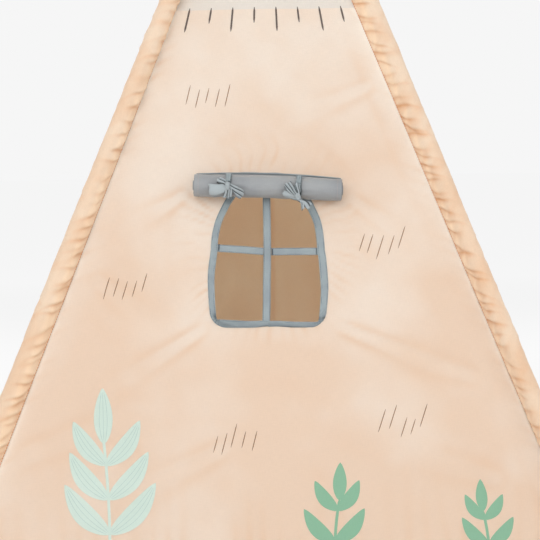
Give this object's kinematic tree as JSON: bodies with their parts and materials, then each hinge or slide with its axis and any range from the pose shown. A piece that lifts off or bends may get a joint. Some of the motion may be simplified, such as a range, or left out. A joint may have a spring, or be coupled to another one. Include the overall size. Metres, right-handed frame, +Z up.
{
  "type": "kids teepee",
  "caption": "Children's play teepee: crossed wooden poles in cloth sleeves, a barred window with a rolled flap, and a two-flap door.",
  "frame": {"origin": "on the floor, under the point where the poles cross", "axes": "+Z up; the window side faces -Y and the door side faces +Y, so +X is to the right in the picture"},
  "size_m": [1.1164, 1.1164, 1.596],
  "materials": {
    "printed_canvas": "matt woven cotton with a small print",
    "grey_tape": "matt woven tape",
    "grey_lining": "smooth satin-like lining",
    "pine": "sanded, clear lacquer",
    "zinc_plated_steel": "zinc plated",
    "grey_rubber": "matt moulded",
    "cotton_rope": "laid cotton"
  },
  "bodies": {
    "apex": {"lashing": "cotton_rope", "lashing_knot": "cotton_rope"},
    "pole_front_left": {"pole_lower_front_left": "pine", "pole_upper_front_left": "pine", "ferrule_front_left": "zinc_plated_steel", "foot_front_left": "grey_rubber", "sleeve_front_left": "printed_canvas"},
    "pole_front_right": {"pole_lower_front_right": "pine", "pole_upper_front_right": "pine", "ferrule_front_right": "zinc_plated_steel", "foot_front_right": "grey_rubber", "sleeve_front_right": "printed_canvas"},
    "pole_back_right": {"pole_lower_back_right": "pine", "pole_upper_back_right": "pine", "ferrule_back_right": "zinc_plated_steel", "foot_back_right": "grey_rubber", "sleeve_back_right": "printed_canvas", "door_tie_right": "grey_tape"},
    "pole_back_left": {"pole_lower_back_left": "pine", "pole_upper_back_left": "pine", "ferrule_back_left": "zinc_plated_steel", "foot_back_left": "grey_rubber", "sleeve_back_left": "printed_canvas", "door_tie_left": "grey_tape"},
    "side_front": {"window_panel": "printed_canvas", "window_binding": "grey_tape", "window_strap_upright": "grey_tape", "window_strap_left": "grey_tape", "window_strap_right": "grey_tape"},
    "side_right": {"right_panel": "printed_canvas"},
    "side_back": {"door_head_panel": "printed_canvas"},
    "side_left": {"left_panel": "printed_canvas"},
    "door_flap_left": {"door_flap_left": "printed_canvas"},
    "door_flap_right": {"door_flap_right": "printed_canvas"},
    "window_flap": {"window_flap": "grey_lining", "window_tie_left": "grey_tape", "window_tie_right": "grey_tape"}
  },
  "joints": [
    {"name": "fold_front_left", "type": "hinge", "parent": "apex", "child": "pole_front_left", "pos_m": [0.0125, -0.01348, 1.40484], "axis": [0.6799, -0.7333, 0], "range_deg": [0, 22]},
    {"name": "fold_front_right", "type": "hinge", "parent": "apex", "child": "pole_front_right", "pos_m": [0.01348, 0.0125, 1.40484], "axis": [0.7333, 0.6799, 0], "range_deg": [0, 22]},
    {"name": "fold_back_right", "type": "hinge", "parent": "apex", "child": "pole_back_right", "pos_m": [-0.0125, 0.01348, 1.40484], "axis": [-0.6799, 0.7333, 0], "range_deg": [0, 22], "deforming": ["door_flap_right"]},
    {"name": "fold_back_left", "type": "hinge", "parent": "apex", "child": "pole_back_left", "pos_m": [-0.01348, -0.0125, 1.40484], "axis": [-0.7333, -0.6799, 0], "range_deg": [0, 22], "deforming": ["door_flap_left"]},
    {"name": "fold_side_front", "type": "hinge", "parent": "apex", "child": "side_front", "pos_m": [0, 0, 1.40484], "axis": [1, 0, 0], "range_deg": [0, 16.5], "deforming": ["window_panel", "window_binding", "window_strap_upright", "window_strap_left", "window_strap_right", "window_flap", "window_tie_left", "window_tie_right"]},
    {"name": "fold_side_right", "type": "hinge", "parent": "apex", "child": "side_right", "pos_m": [0, 0, 1.40484], "axis": [0, 1, 0], "range_deg": [0, 16.5], "deforming": ["right_panel"]},
    {"name": "fold_side_back", "type": "hinge", "parent": "apex", "child": "side_back", "pos_m": [0, 0, 1.40484], "axis": [-1, 0, 0], "range_deg": [0, 16.5], "deforming": ["door_head_panel"]},
    {"name": "fold_side_left", "type": "hinge", "parent": "apex", "child": "side_left", "pos_m": [0, 0, 1.40484], "axis": [0, -1, 0], "range_deg": [0, 16.5], "deforming": ["left_panel"]},
    {"name": "door_flap_left_hinge", "type": "hinge", "parent": "pole_back_left", "child": "door_flap_left", "pos_m": [-0.50638, 0.50638, 0.02], "axis": [0.3352, -0.3352, 0.8805], "range_deg": [0, 80]},
    {"name": "door_flap_right_hinge", "type": "hinge", "parent": "pole_back_right", "child": "door_flap_right", "pos_m": [0.50638, 0.50638, 0.02], "axis": [0.3352, 0.3352, -0.8805], "range_deg": [0, 80]},
    {"name": "window_flap_lift", "type": "hinge", "parent": "side_front", "child": "window_flap", "pos_m": [0.00213, -0.26362, 0.65845], "axis": [-0.9987, 0.018, 0.0473], "range_deg": [0, 40]}
  ],
  "couplings": [
    {"joint": "fold_front_right", "follows": "fold_front_left", "ratio": 1},
    {"joint": "fold_back_right", "follows": "fold_front_left", "ratio": 1},
    {"joint": "fold_back_left", "follows": "fold_front_left", "ratio": 1},
    {"joint": "fold_side_front", "follows": "fold_front_left", "ratio": 0.7445},
    {"joint": "fold_side_right", "follows": "fold_front_left", "ratio": 0.7445},
    {"joint": "fold_side_back", "follows": "fold_front_left", "ratio": 0.7445},
    {"joint": "fold_side_left", "follows": "fold_front_left", "ratio": 0.7445}
  ]
}
